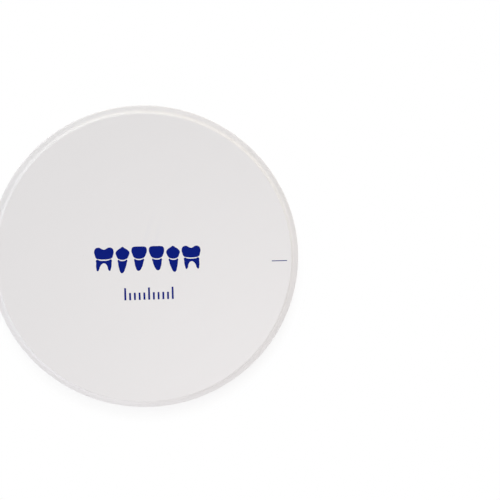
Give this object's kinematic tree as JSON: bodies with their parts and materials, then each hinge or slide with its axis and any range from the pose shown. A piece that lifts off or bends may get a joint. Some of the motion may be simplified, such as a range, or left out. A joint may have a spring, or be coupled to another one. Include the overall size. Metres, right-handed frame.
{
  "type": "dental milling disc",
  "caption": "Round blank of pressed, pre-sintered zirconia with a raised face on each side and a wide collar that a milling machine's holder grips, for cutting crowns and bridges.",
  "frame": {"origin": "middle of the lower raised face, which the disc lies on", "axes": "+Z along the disc's turning axis, up through the marked face; +X towards the short orientation line near the edge of that face"},
  "size_m": [0.0984, 0.0984, 0.014],
  "materials": {
    "zirconia": "chalk-white, dull, pressed and unsintered",
    "marking_ink": "thin dark blue printed ink, dull"
  },
  "bodies": {
    "root": {"milling_blank": "zirconia"}
  },
  "joints": []
}
